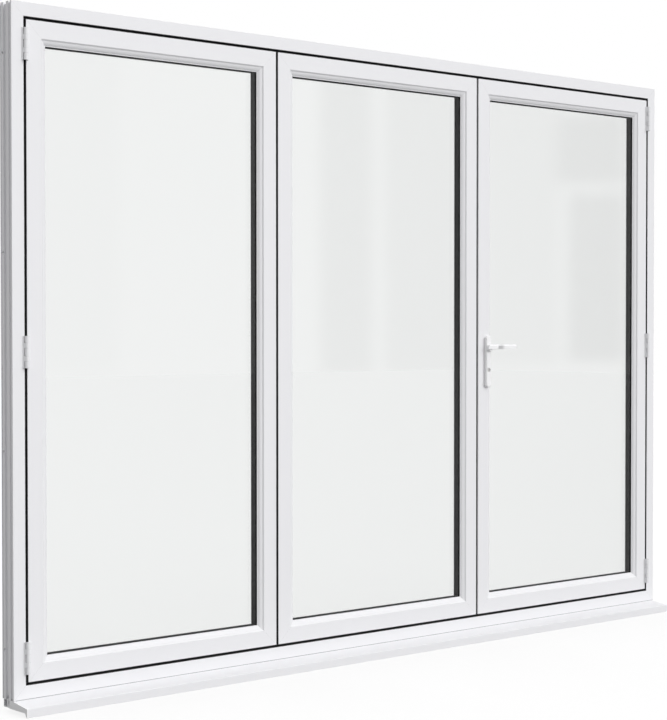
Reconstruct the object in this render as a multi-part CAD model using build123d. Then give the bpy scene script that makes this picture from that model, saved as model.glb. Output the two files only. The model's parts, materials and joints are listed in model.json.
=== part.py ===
from build123d import *
import math
import os

# A white three-leaf bi-fold door set in its frame, on a projecting sill.
# Millimetres. Seen from outside, +X runs to the right and +Z up, and -Y points out of the building.
# Pieces are drawn with x from the frame's left side, y inwards from the frame's outside face and
# z up from the top of the sill. They are then moved so that the origin is the middle of the
# flat underside that the set stands on.

# Frame
SET_WIDTH = 3000
FRAME_HEIGHT = 2090
FRAME_DEPTH = 65
FRAME_FACE = 42
FRAME_WALL = 3
STOP_HEIGHT = 17
STOP_THICKNESS = 6
SIDE_CHANNELS = ((6.5, 17, 4), (30, 47, 6), (58, 63, 4))
EDGE_ROUND = 0.8
TRACK_WIDTH = 14
TRACK_DEPTH = 18
TRACK_MIDDLE = 36

# Openings in the outer sides at the frame's foot, where the threshold's chambers end
END_PORTS = ((8, 15, 1, 6), (31, 46, 3, 12), (57.5, 62.5, 4, 9))
END_PORT_DEPTH = 30

# Sill
SILL_HEIGHT = 25
SILL_STEP = 2
SILL_FALL = 9
SILL_PROJECTION = 76
NOSE_HEIGHT = 27
NOSE_THICKNESS = 12
NOSE_TIP = 3
SILL_WALL = 3
SILL_HEEL = 39
HEEL_CHAMBER = 17
WEB_CHAMBER = 12
WEB_CHAMBER_HEIGHT = 14
SILL_CAP_THICKNESS = 4

# Leaves
LEFT_LEAF_WIDTH = 960
MIDDLE_LEAF_WIDTH = 947
LEAF_DEPTH = 52
LEAF_WALL = 3
LEAF_GAP = 9.2
MEETING_GAP = 10
LEAF_FLAT = 52.5
CHAMFER_WIDTH = 4.4
CHAMFER_DEPTH = 4.2
OVOLO_WIDTH = 13.6
OVOLO_DEPTH = 8.3
OVOLO_BULGE = 1.4
LAND_WIDTH = 2
LEG_THICKNESS = 1.5
REBATE_FLOOR = 57

# Glazing
GASKET_THICKNESS = 2
GASKET_LIP = 1
PANE_THICKNESS = 4
CAVITY = 20
UNIT_CLEARANCE = 4
SPACER_SHOW = 1.5
BEAD_MITRE_GAP = 0.3
BEAD_SLOPE_DEPTH = 3
BEAD_SLOPE_WIDTH = 6

# Edge seals
SEAL_THICKNESS = 2
SEAL_SETBACK = 0.5
SEAL_DEPTH = 24
MEETING_SEAL_SETBACK = 4.8
BULB_SETBACK = 10
COVER_OVERLAP = 16
COVER_THICKNESS = 4
MOVING_CLEARANCE = 5

# Hinges
HINGE_RADIUS = 7
HINGE_PIN_RADIUS = 3
HINGE_PIN_CLEARANCE = 0.08
HINGE_FOOT_REACH = 11.3
HINGE_LIP_HEIGHT = 4.8
HINGE_LIP_WIDTH = 0.8
HINGE_SWEEP_CLEARANCE = 1
KNUCKLE_GAP = 0.4
LEAF_KNUCKLES = (21, 24, 21)
FRAME_KNUCKLE = 15.5
HINGE_END_DISTANCE = 125

# Handles and lock
HANDLE_HEIGHT = 1041
HANDLE_BACKSET = 44
PLATE_HEIGHT = 192
PLATE_WIDTH = 26
PLATE_THICKNESS = 13
PLATE_BEVEL = 2.5
PLATE_ABOVE_SPINDLE = 46.5
SPINDLE_WIDTH = 8
SPINDLE_FIT = 0.05
SPINDLE_HOLE_RADIUS = 6.5
BOSS_RADIUS = 13
BOSS_HEIGHT = 8.7
BOSS_BEVEL = 3
BOSS_GAP = 0.3
LEVER_LENGTH = 117.5
LEVER_REACH = 46
LEVER_THICKNESS = 9
LEVER_HEIGHT = 18.6
LEVER_RISE = 5
LEVER_TAPER = 2.2
LEVER_BEVEL = 6
LEVER_EDGE = 1.5
CRANK_START = 39.4
CRANK_RUN = 8.6
CRANK_ROUND = 9
CYLINDER_DROP = 81.5
CYLINDER_RADIUS = 8.5
CYLINDER_TAIL_WIDTH = 10
CYLINDER_TAIL_LENGTH = 24.5
CYLINDER_FIT = 0.15
KEYHOLE_RADIUS = 8.3
KEYHOLE_DEPTH = 6
KEYWAY_WIDTH = 2
KEYWAY_HEIGHT = 9
KEYWAY_DEPTH = 4
FACEPLATE_HEIGHT = 1600
FACEPLATE_WIDTH = 16
FACEPLATE_THICKNESS = 2

# Folding pair's hardware
CARRIER_LENGTH = 40
CARRIER_CLEARANCE = 0.5
CARRIER_PIN_RADIUS = 4
CARRIER_PIN_FIT = 0.15
CARRIER_BACKSET = 30
BOLT_BACKSET = 30
BOLT_PLATE_HEIGHT = 150
BOLT_PLATE_WIDTH = 25
BOLT_PLATE_THICKNESS = 8
BOLT_PLATE_BEVEL = 2
BOLT_HUB_RADIUS = 10
BOLT_HUB_HEIGHT = 11
BOLT_GRIP_LENGTH = 110
BOLT_GRIP_WIDTH = 14
BOLT_GRIP_THICKNESS = 8

# Fixing holes through the jambs
FIXING_RADIUS = 4
FIXING_DEPTH = 52
FIXING_END = 150
FIXING_COUNT = 4

# Places worked out from the sizes
OPENING_LEFT = FRAME_FACE
OPENING_RIGHT = SET_WIDTH - FRAME_FACE
LEAF_BOTTOM = FRAME_FACE + LEAF_GAP
LEAF_TOP = FRAME_HEIGHT - FRAME_FACE - LEAF_GAP
LEFT_LEAF_X = OPENING_LEFT + LEAF_GAP
MIDDLE_LEAF_X = LEFT_LEAF_X + LEFT_LEAF_WIDTH + LEAF_GAP
TRAFFIC_LEAF_X = MIDDLE_LEAF_X + MIDDLE_LEAF_WIDTH + MEETING_GAP
TRAFFIC_LEAF_END = OPENING_RIGHT - LEAF_GAP
STOP_FRONT = FRAME_DEPTH - STOP_THICKNESS
LAND_DEPTH = CHAMFER_DEPTH + OVOLO_DEPTH
LAND_START = LEAF_FLAT + CHAMFER_WIDTH + OVOLO_WIDTH
SIGHT_LINE = LAND_START + LAND_WIDTH
GASKET_FRONT = LAND_DEPTH + LEG_THICKNESS
GLASS_FRONT = GASKET_FRONT + GASKET_THICKNESS
GLASS_BACK = GLASS_FRONT + 2 * PANE_THICKNESS + CAVITY
BEAD_FRONT = GLASS_BACK + GASKET_THICKNESS
UNIT_EDGE = REBATE_FLOOR + UNIT_CLEARANCE
HINGE_HEIGHT = sum(LEAF_KNUCKLES) + 2 * FRAME_KNUCKLE
HINGE_HEIGHTS = (HINGE_END_DISTANCE, FRAME_HEIGHT / 2, FRAME_HEIGHT - HINGE_END_DISTANCE)
SPINDLE_X = TRAFFIC_LEAF_X + HANDLE_BACKSET
FIXING_SPACING = (FRAME_HEIGHT - 2 * FIXING_END) / (FIXING_COUNT - 1)

RIGHT, INWARDS, OUTWARDS = (1, 0, 0), (0, 1, 0), (0, -1, 0)
TO_ORIGIN = Pos(-SET_WIDTH / 2, -FRAME_DEPTH / 2, SILL_HEIGHT)


def save(name, *solids):
    """Writes one node, moved to the set's own origin."""
    placed = [TO_ORIGIN * solid for solid in solids]
    shape = placed[0] if len(placed) == 1 else Compound(children=placed)
    export_step(shape, f"parts/{name}.step")


def outline(points, plane=Plane.YZ):
    return make_face(plane * Polyline(*points, close=True))


def block(x, y, z):
    """A box from its low and high x, y and z."""
    size = [high - low for low, high in (x, y, z)]
    middle = [(high + low) / 2 for low, high in (x, y, z)]
    return Pos(*middle) * Box(*size)


def rounded(face, corners, radius):
    """Rounds the corners of a profile that lie at the given (y, depth) points."""
    picked = [
        vertex
        for vertex in face.vertices()
        for y, depth in corners
        if abs(vertex.Y - y) < 0.01 and abs(vertex.Z - depth) < 0.01
    ]
    return fillet(picked, radius)


def ring_members(profile, box):
    """Four mitred lengths of a profile round a rectangle: bottom, right, top and left.

    The profile lies in the YZ plane, with z measured inwards from the rectangle's edge.
    """
    x0, z0, x1, z1 = box
    bounds = profile.bounding_box()
    reach = bounds.max.Z + 1
    starts = ((x0, z0, 0, x1 - x0), (x1, z0, -90, z1 - z0), (x1, z1, 180, x1 - x0), (x0, z1, 90, z1 - z0))
    members = []
    for x, z, turn, length in starts:
        corners = [(0, 0), (length, 0), (length - reach, reach), (reach, reach)]
        mitre = extrude(outline(corners, Plane.XZ), amount=bounds.size.Y + 2, both=True)
        bar = extrude(profile, amount=length, dir=RIGHT) & (Pos(0, bounds.center().Y, 0) * mitre)
        members.append(Pos(x, 0, z) * Rot(0, turn, 0) * bar)
    return members


def ring(box, width, y):
    """A closed rectangular ring, from the box inwards by a width (outwards where negative)."""
    x0, z0, x1, z1 = box
    inner = (x0 + width, z0 + width, x1 - width, z1 - width)
    big, small = (box, inner) if width > 0 else (inner, box)
    solid = block((big[0], big[2]), y, (big[1], big[3]))
    hole = block((small[0], small[2]), (y[0] - 1, y[1] + 1), (small[1], small[3]))
    return solid - hole


def frame_profile(track):
    """The outer frame's section: side channels, one chamber, the stop and, head and foot, a track."""
    face = outline(
        [
            (0, 0),
            (0, FRAME_FACE),
            (STOP_FRONT, FRAME_FACE),
            (STOP_FRONT, FRAME_FACE + STOP_HEIGHT),
            (FRAME_DEPTH, FRAME_FACE + STOP_HEIGHT),
            (FRAME_DEPTH, 0),
        ]
    )
    face = rounded(face, [(0, 0), (0, FRAME_FACE), (FRAME_DEPTH, FRAME_FACE + STOP_HEIGHT)], EDGE_ROUND)
    deepest = max(depth for low, high, depth in SIDE_CHANNELS)
    for low, high, depth in SIDE_CHANNELS:
        face -= outline([(low, -1), (low, depth), (high, depth), (high, -1)])
    floor = FRAME_FACE - FRAME_WALL
    front, back = FRAME_WALL, FRAME_DEPTH - FRAME_WALL
    foot = deepest + FRAME_WALL
    if track:
        low, high = TRACK_MIDDLE - TRACK_WIDTH / 2, TRACK_MIDDLE + TRACK_WIDTH / 2
        face -= outline([(low, FRAME_FACE - TRACK_DEPTH), (low, FRAME_FACE + 1), (high, FRAME_FACE + 1),
                         (high, FRAME_FACE - TRACK_DEPTH)])
        below = FRAME_FACE - TRACK_DEPTH - FRAME_WALL
        chamber = [(front, foot), (front, floor), (low - FRAME_WALL, floor), (low - FRAME_WALL, below),
                   (high + FRAME_WALL, below), (high + FRAME_WALL, floor), (back, floor), (back, foot)]
    else:
        chamber = [(front, foot), (front, floor), (back, floor), (back, foot)]
    return face - outline(chamber)


def frame_members():
    box = (0, 0, SET_WIDTH, FRAME_HEIGHT)
    foot, _, head, _ = ring_members(frame_profile(True), box)
    _, right, _, left = ring_members(frame_profile(False), box)
    for index in range(FIXING_COUNT):
        drill = Rot(0, 90, 0) * Cylinder(FIXING_RADIUS, 4 * SET_WIDTH)
        hole = Pos(0, FIXING_DEPTH, FIXING_END + index * FIXING_SPACING) * drill
        left -= hole
        right -= hole
    for y0, y1, z0, z1 in END_PORTS:
        left_port = block((-1, END_PORT_DEPTH), (y0, y1), (z0, z1))
        right_port = block((SET_WIDTH - END_PORT_DEPTH, SET_WIDTH + 1), (y0, y1), (z0, z1))
        foot -= left_port
        foot -= right_port
        left -= left_port
        right -= right_port
    return foot, right, head, left


def sill_section():
    """The sill's section, with (y, z) points: its flat back part and its sloping, hooked nose."""
    nose = -SILL_PROJECTION
    nose_top = -SILL_STEP - SILL_FALL
    nose_foot = nose_top - NOSE_HEIGHT
    face = outline(
        [
            (FRAME_DEPTH, 0),
            (0, 0),
            (0, -SILL_STEP),
            (nose, nose_top),
            (nose, nose_foot),
            (nose + NOSE_TIP, nose_foot),
            (nose + NOSE_THICKNESS, -SILL_HEIGHT),
            (FRAME_DEPTH, -SILL_HEIGHT),
        ]
    )
    return rounded(face, [(nose, nose_top)], 1.5)


def sill_chambers():
    """The hollows of the extrusion: two behind, side by side, and two along the sloping part."""
    back = FRAME_DEPTH - SILL_WALL
    heel = FRAME_DEPTH - SILL_HEEL
    low, high = -SILL_HEIGHT + SILL_WALL, -SILL_WALL
    slope = SILL_FALL / SILL_PROJECTION
    toe = -SILL_STEP - SILL_WALL
    nose = -SILL_PROJECTION + NOSE_THICKNESS
    middle = nose / 2
    return [
        [(back - HEEL_CHAMBER, low), (back - HEEL_CHAMBER, high), (back, high), (back, low)],
        [(heel, high - WEB_CHAMBER_HEIGHT), (heel, high), (heel + WEB_CHAMBER, high),
         (heel + WEB_CHAMBER, high - WEB_CHAMBER_HEIGHT)],
        [(middle, low), (middle, toe + slope * middle), (0, toe), (heel - SILL_WALL, toe),
         (heel - SILL_WALL, low)],
        [(nose, low), (nose, toe + slope * nose), (middle - SILL_WALL, toe + slope * middle),
         (middle - SILL_WALL, low)],
    ]


def sill():
    section = sill_section()
    for chamber in sill_chambers():
        section -= outline(chamber)
    length = SET_WIDTH - 2 * SILL_CAP_THICKNESS
    return Pos(SILL_CAP_THICKNESS, 0, 0) * extrude(section, amount=length, dir=RIGHT)


def sill_end_caps():
    """A plate on each end of the sill's front part, to the same outline."""
    behind = outline([(FRAME_DEPTH - SILL_HEEL, 10), (FRAME_DEPTH - SILL_HEEL, -2 * SILL_HEIGHT),
                      (2 * FRAME_DEPTH, -2 * SILL_HEIGHT), (2 * FRAME_DEPTH, 10)])
    cap = extrude(sill_section() - behind, amount=SILL_CAP_THICKNESS, dir=RIGHT)
    return cap, Pos(SET_WIDTH - SILL_CAP_THICKNESS, 0, 0) * cap


def leaf_profile():
    """A stile's or rail's section: flat face, chamfer, ovolo, narrow land, rebate and one chamber."""
    ovolo_start, ovolo_end = (CHAMFER_DEPTH, LEAF_FLAT + CHAMFER_WIDTH), (LAND_DEPTH, LAND_START)
    lean = OVOLO_BULGE / math.hypot(OVOLO_WIDTH, OVOLO_DEPTH)
    ovolo_middle = ((ovolo_start[0] + ovolo_end[0]) / 2 - lean * OVOLO_WIDTH,
                    (ovolo_start[1] + ovolo_end[1]) / 2 + lean * OVOLO_DEPTH)
    edge = [
        Polyline((0, 0), (0, LEAF_FLAT), ovolo_start),
        ThreePointArc(ovolo_start, ovolo_middle, ovolo_end),
        Polyline(ovolo_end, (LAND_DEPTH, SIGHT_LINE), (GASKET_FRONT, SIGHT_LINE),
                 (GASKET_FRONT, REBATE_FLOOR), (LEAF_DEPTH, REBATE_FLOOR), (LEAF_DEPTH, 0), (0, 0)),
    ]
    face = make_face([Plane.YZ * line for line in edge])
    face = rounded(face, [(0, 0), (0, LEAF_FLAT), (LEAF_DEPTH, 0)], EDGE_ROUND)
    wall = LEAF_WALL
    top = REBATE_FLOOR - wall
    shoulder = GASKET_FRONT + wall
    chamber = [(wall, wall), (wall, LEAF_FLAT - wall), (shoulder, top), (LEAF_DEPTH - wall, top),
               (LEAF_DEPTH - wall, wall)]
    return face - outline(chamber)


def bead_profile():
    """The inside glazing bead: it stands on the rebate's floor and its inner top edge is sloped."""
    face = outline(
        [
            (BEAD_FRONT, REBATE_FLOOR),
            (BEAD_FRONT, SIGHT_LINE),
            (LEAF_DEPTH - BEAD_SLOPE_DEPTH, SIGHT_LINE),
            (LEAF_DEPTH, SIGHT_LINE - BEAD_SLOPE_WIDTH),
            (LEAF_DEPTH, REBATE_FLOOR),
        ]
    )
    return face


def leaf_box(x0, x1):
    return (x0, LEAF_BOTTOM, x1, LEAF_TOP)


def shrunk(box, amount):
    x0, z0, x1, z1 = box
    return (x0 + amount, z0 + amount, x1 - amount, z1 - amount)


def pane(box, y):
    x0, z0, x1, z1 = shrunk(box, UNIT_EDGE)
    return block((x0, x1), (y, y + PANE_THICKNESS), (z0, z1))


def glazing_beads(box):
    """Four beads, each cut back a little at its mitres."""
    beads = ring_members(bead_profile(), box)
    x0, z0, x1, z1 = box
    reach = SIGHT_LINE + 5
    slot = BEAD_MITRE_GAP
    kerfs = []
    for x, z, turn in ((x0, z0, -45), (x1, z0, -135), (x1, z1, 135), (x0, z1, 45)):
        saw = Pos(reach, 0, 0) * Box(2 * reach, 4 * LEAF_DEPTH, slot)
        kerfs.append(Pos(x, 0, z) * Rot(0, turn, 0) * saw)
    for kerf in kerfs:
        beads = [bead - kerf for bead in beads]
    return beads


def glazing(box):
    """The sealed unit's two panes, its spacer, and the gaskets before and behind it."""
    panes = [pane(box, GLASS_FRONT), pane(box, GLASS_BACK - PANE_THICKNESS)]
    seat = shrunk(box, UNIT_EDGE)
    spacer_height = SIGHT_LINE + SPACER_SHOW - UNIT_EDGE
    spacer = ring(seat, spacer_height, (GLASS_FRONT + PANE_THICKNESS, GLASS_BACK - PANE_THICKNESS))
    gasket_height = SIGHT_LINE + GASKET_LIP - UNIT_EDGE
    outer = ring(seat, gasket_height, (GASKET_FRONT, GLASS_FRONT))
    inner = ring(seat, gasket_height, (GLASS_BACK, BEAD_FRONT))
    return panes, spacer, [outer, inner]


def edge_seal(box):
    """The black seal round a leaf's edges, just behind its outside face."""
    return ring(box, -SEAL_THICKNESS, (SEAL_SETBACK, SEAL_SETBACK + SEAL_DEPTH))


def save_leaf(name, box, seal, cut=None):
    bottom, right, top, left = ring_members(leaf_profile(), box)
    members = {"bottom_rail": bottom, "right_stile": right, "top_rail": top, "left_stile": left}
    for part, tools in (cut or {}).items():
        for tool in tools:
            members[part] -= tool
    for part, solid in members.items():
        save(f"{name}_{part}", solid)
    panes, spacer, gaskets = glazing(box)
    save(f"{name}_glazing_beads", *glazing_beads(box))
    save(f"{name}_glass", *panes)
    save(f"{name}_glass_spacer", spacer)
    save(f"{name}_seals", *gaskets, seal)


def touching_point(x, y, radius, side):
    """Where a line from the point x, y touches the circle about the origin, on one side or the other."""
    angle = math.atan2(y, x) + side * math.acos(radius / math.hypot(x, y))
    return radius * math.cos(angle), radius * math.sin(angle)


def hinge_sections():
    """A half's two sections, pin at the origin and foot on the line y = HINGE_RADIUS, reaching to +X.

    The first is a knuckle with its own web. The second is the low lip beside the other half's knuckle.
    """
    foot = HINGE_RADIUS
    touch_x, touch_y = touching_point(HINGE_FOOT_REACH, foot, HINGE_RADIUS, -1)
    web = make_face(Polyline((0, 0), (0, foot), (HINGE_FOOT_REACH, foot), (touch_x, touch_y), close=True))
    slope = (HINGE_FOOT_REACH - touch_x) / (foot - touch_y)
    lip_outer = HINGE_FOOT_REACH - slope * HINGE_LIP_HEIGHT
    lip_inner, lip_y = lip_outer - HINGE_LIP_WIDTH, foot - HINGE_LIP_HEIGHT
    clear_x, clear_y = touching_point(lip_inner, lip_y, HINGE_RADIUS + HINGE_SWEEP_CLEARANCE, 1)
    foot_inner = lip_inner + (clear_x - lip_inner) * HINGE_LIP_HEIGHT / (clear_y - lip_y)
    corners = [(foot_inner, foot), (HINGE_FOOT_REACH, foot), (lip_outer, lip_y), (lip_inner, lip_y)]
    lip = make_face(Polyline(*corners, close=True))
    return Circle(HINGE_RADIUS) + web, lip


def hinge_parts(turning):
    """One five-knuckle hinge about the Z axis: the fixed half and the leaf's half.

    The fixed half reaches to +X. A turning hinge has its pin fast in the fixed half and bores in the other.
    """
    knuckle, lip = hinge_sections()
    lengths = [LEAF_KNUCKLES[0], FRAME_KNUCKLE, LEAF_KNUCKLES[1], FRAME_KNUCKLE, LEAF_KNUCKLES[2]]
    base = -HINGE_HEIGHT / 2
    halves = [Pos(0, 0, base) * extrude(lip, amount=HINGE_HEIGHT) for half in range(2)]
    z = base
    for index, length in enumerate(lengths):
        barrel = Pos(0, 0, z + KNUCKLE_GAP / 2) * extrude(knuckle, amount=length - KNUCKLE_GAP)
        halves[1 - index % 2] += barrel
        z += length
    fixed, leaf = halves[0], mirror(halves[1], about=Plane.YZ)
    if turning:
        fixed += Cylinder(HINGE_PIN_RADIUS, HINGE_HEIGHT)
        leaf -= Cylinder(HINGE_PIN_RADIUS + HINGE_PIN_CLEARANCE, 2 * HINGE_HEIGHT)
    return fixed, leaf


def hinge_line(fixed, leaf, x, y, turn, flip):
    """The same hinge at each hinge height, its pin at x, y. Flip swaps its two sides."""
    fixed_set, leaf_set = [], []
    for height in HINGE_HEIGHTS:
        place = Pos(x, y, height) * Rot(0, 0, turn)
        for source, target in ((fixed, fixed_set), (leaf, leaf_set)):
            solid = mirror(source, about=Plane.YZ) if flip else source
            target.append(place * solid)
    return fixed_set, leaf_set


def euro_profile(fit):
    """The cylinder's keyhole outline, in the XZ plane, its round part at the origin."""
    round_part = Circle(CYLINDER_RADIUS + fit)
    tail_height = CYLINDER_TAIL_LENGTH + fit
    tail = Pos(0, -tail_height / 2, 0) * Rectangle(CYLINDER_TAIL_WIDTH + 2 * fit, tail_height)
    end = Pos(0, -tail_height, 0) * Circle(CYLINDER_TAIL_WIDTH / 2 + fit)
    return Plane.XZ * (round_part + tail + end)


def euro_bar(fit, y):
    """The cylinder's outline drawn out from one y to another, on the cylinder's axis."""
    bar = extrude(euro_profile(fit), amount=y[1] - y[0], dir=INWARDS)
    return Pos(SPINDLE_X, y[0], HANDLE_HEIGHT - CYLINDER_DROP) * bar


def backplate():
    """One backplate: a long plate with round ends, a round keyhole in front and the lock's pocket behind."""
    middle = HANDLE_HEIGHT + PLATE_ABOVE_SPINDLE - PLATE_HEIGHT / 2
    shape = Plane.XZ * (Rot(0, 0, 90) * SlotOverall(PLATE_HEIGHT, PLATE_WIDTH))
    plate = extrude(shape, amount=PLATE_THICKNESS, dir=OUTWARDS)
    plate = chamfer(plate.edges().group_by(Axis.Y)[0], PLATE_BEVEL)
    plate = Pos(SPINDLE_X, 0, middle) * plate
    through = 4 * PLATE_THICKNESS
    for drop, radius in ((0, SPINDLE_HOLE_RADIUS), (CYLINDER_DROP, KEYHOLE_RADIUS)):
        plate -= Pos(SPINDLE_X, 0, HANDLE_HEIGHT - drop) * Rot(90, 0, 0) * Cylinder(radius, through)
    return plate - euro_bar(CYLINDER_FIT, (KEYHOLE_DEPTH - PLATE_THICKNESS, PLATE_THICKNESS))


def inside_of(solid):
    """The same piece turned over to the leaf's inside face."""
    return Pos(0, LEAF_DEPTH, 0) * mirror(solid, about=Plane.XZ)


def lever():
    """The outside lever about the spindle's axis: its round boss, and a bar that is cranked outwards."""
    half, top = LEVER_THICKNESS / 2, LEVER_HEIGHT / 2
    heel = LEVER_RISE + top
    arm, grip = -PLATE_THICKNESS - MOVING_CLEARANCE - half, half - LEVER_REACH
    section = make_face(
        Polyline(
            (half, -top), (half, top), (LEVER_BEVEL - half, top), (-half, top - LEVER_BEVEL),
            (-half, LEVER_EDGE - top), (LEVER_EDGE - half, -top), close=True,
        )
    )
    stations = [(-heel, arm), (CRANK_START, arm), (CRANK_START + CRANK_RUN, grip), (LEVER_LENGTH, grip)]
    path = FilletPolyline(*stations, radius=CRANK_ROUND)
    bar = sweep(Plane(origin=(-heel, arm, 0), x_dir=INWARDS, z_dir=RIGHT) * section, path)
    bar = chamfer(bar.faces().sort_by(Axis.X)[-1].edges(), LEVER_EDGE)
    bar = Pos(0, 0, LEVER_RISE) * bar
    low = LEVER_RISE - top
    tip = low + LEVER_TAPER
    taper = outline([(0, low - 1), (0, low), (LEVER_LENGTH, tip), (LEVER_LENGTH, low - 1)], Plane.XZ)
    bar -= extrude(taper, amount=2 * LEVER_REACH, dir=OUTWARDS)
    round_end = Rot(90, 0, 0) * Cylinder(heel, 4 * LEVER_REACH)
    bar &= round_end + block((0, LEVER_LENGTH), (-2 * LEVER_REACH, 0), (-heel, heel))
    root = -PLATE_THICKNESS - BOSS_GAP
    boss = Pos(0, root, 0) * Rot(90, 0, 0) * Cylinder(BOSS_RADIUS, BOSS_HEIGHT,
                                                     align=(Align.CENTER, Align.CENTER, Align.MIN))
    boss = chamfer(boss.edges().group_by(Axis.Y)[0], BOSS_BEVEL)
    return bar + boss


def levers():
    """Both levers on their axis. The outside one carries the spindle."""
    at = Pos(SPINDLE_X, 0, HANDLE_HEIGHT)
    outside = lever()
    inside = inside_of(outside)
    front = -PLATE_THICKNESS - BOSS_GAP - 1
    back = LEAF_DEPTH + PLATE_THICKNESS + BOSS_HEIGHT / 2
    half = SPINDLE_WIDTH / 2
    spindle = block((-half, half), (front, back), (-half, half))
    socket = block((-half - SPINDLE_FIT, half + SPINDLE_FIT), (front, back + SPINDLE_FIT),
                   (-half - SPINDLE_FIT, half + SPINDLE_FIT))
    return at * (outside + spindle), at * (inside - socket)


def lock_cylinder():
    """The cylinder through the leaf, ending behind each plate's keyhole, with a key slot in each end."""
    end = PLATE_THICKNESS - KEYHOLE_DEPTH - CYLINDER_FIT
    bar = euro_bar(0, (-end, LEAF_DEPTH + end))
    x, z = SPINDLE_X, HANDLE_HEIGHT - CYLINDER_DROP
    across = (x - KEYWAY_WIDTH / 2, x + KEYWAY_WIDTH / 2)
    along = (z - KEYWAY_HEIGHT / 2, z + KEYWAY_HEIGHT / 2)
    for y in ((-end - 1, -end + KEYWAY_DEPTH), (LEAF_DEPTH + end - KEYWAY_DEPTH, LEAF_DEPTH + end + 1)):
        bar -= block(across, y, along)
    return bar


def faceplate():
    """The lock's long faceplate, let into the traffic leaf's free edge."""
    front = LEAF_DEPTH / 2
    half = FACEPLATE_HEIGHT / 2
    centre = (LEAF_BOTTOM + LEAF_TOP) / 2
    x = (TRAFFIC_LEAF_X, TRAFFIC_LEAF_X + FACEPLATE_THICKNESS)
    return block(x, (front, front + FACEPLATE_WIDTH), (centre - half, centre + half))


def carrier(at_top):
    """A track block and its pin, at the middle leaf's free corner. Drawn for the foot."""
    x = MIDDLE_LEAF_X + MIDDLE_LEAF_WIDTH - CARRIER_BACKSET
    reach = CARRIER_LENGTH / 2
    half = TRACK_WIDTH / 2 - CARRIER_CLEARANCE
    upright = (FRAME_FACE - TRACK_DEPTH, FRAME_FACE - CARRIER_CLEARANCE)
    slider = block((x - reach, x + reach), (TRACK_MIDDLE - half, TRACK_MIDDLE + half), upright)
    end = LEAF_BOTTOM + LEAF_WALL
    pin_height = end - FRAME_FACE + 1
    pin = Pos(x, TRACK_MIDDLE, FRAME_FACE - 1 + pin_height / 2) * Cylinder(CARRIER_PIN_RADIUS, pin_height)
    solid = slider + pin
    bore = Pos(x, TRACK_MIDDLE, LEAF_BOTTOM) * Cylinder(CARRIER_PIN_RADIUS + CARRIER_PIN_FIT, 4 * LEAF_WALL)
    if not at_top:
        return solid, bore
    turn = Pos(0, 0, FRAME_HEIGHT) * mirror(solid, about=Plane.XY)
    return turn, Pos(0, 0, FRAME_HEIGHT) * mirror(bore, about=Plane.XY)


def upright_slot(length, width, thickness):
    """A flat bar with round ends, standing upright, from y = 0 inwards."""
    return extrude(Plane.XZ * (Rot(0, 0, 90) * SlotOverall(length, width)), amount=thickness, dir=INWARDS)


def bolt_handle():
    """The inside handle that drives the folding pair's bolts: plate, hub and upright grip."""
    x = MIDDLE_LEAF_X + MIDDLE_LEAF_WIDTH - BOLT_BACKSET
    plate = upright_slot(BOLT_PLATE_HEIGHT, BOLT_PLATE_WIDTH, BOLT_PLATE_THICKNESS)
    plate = chamfer(plate.edges().group_by(Axis.Y)[-1], BOLT_PLATE_BEVEL)
    hub_height = BOLT_PLATE_HEIGHT / 4
    hub = Pos(0, BOLT_PLATE_THICKNESS, hub_height) * Rot(-90, 0, 0) * Cylinder(
        BOLT_HUB_RADIUS, BOLT_HUB_HEIGHT, align=(Align.CENTER, Align.CENTER, Align.MIN))
    grip_middle = hub_height + (BOLT_GRIP_WIDTH - BOLT_GRIP_LENGTH) / 2
    grip = Pos(0, BOLT_PLATE_THICKNESS + BOLT_HUB_HEIGHT, grip_middle) * upright_slot(
        BOLT_GRIP_LENGTH, BOLT_GRIP_WIDTH, BOLT_GRIP_THICKNESS)
    return Pos(x, LEAF_DEPTH, HANDLE_HEIGHT) * (plate + hub + grip)


def meeting_cover():
    """The strip on the middle leaf's inside that closes the meeting gap, clear of the traffic leaf."""
    start = MIDDLE_LEAF_X + MIDDLE_LEAF_WIDTH
    back = LEAF_DEPTH + MOVING_CLEARANCE
    foot = block((start - COVER_OVERLAP, start), (LEAF_DEPTH, back + COVER_THICKNESS),
                 (LEAF_BOTTOM + STOP_HEIGHT, LEAF_TOP - STOP_HEIGHT))
    wing = block((start, start + MEETING_GAP + COVER_OVERLAP), (back, back + COVER_THICKNESS),
                 (LEAF_BOTTOM + STOP_HEIGHT, LEAF_TOP - STOP_HEIGHT))
    return foot + wing


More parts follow.
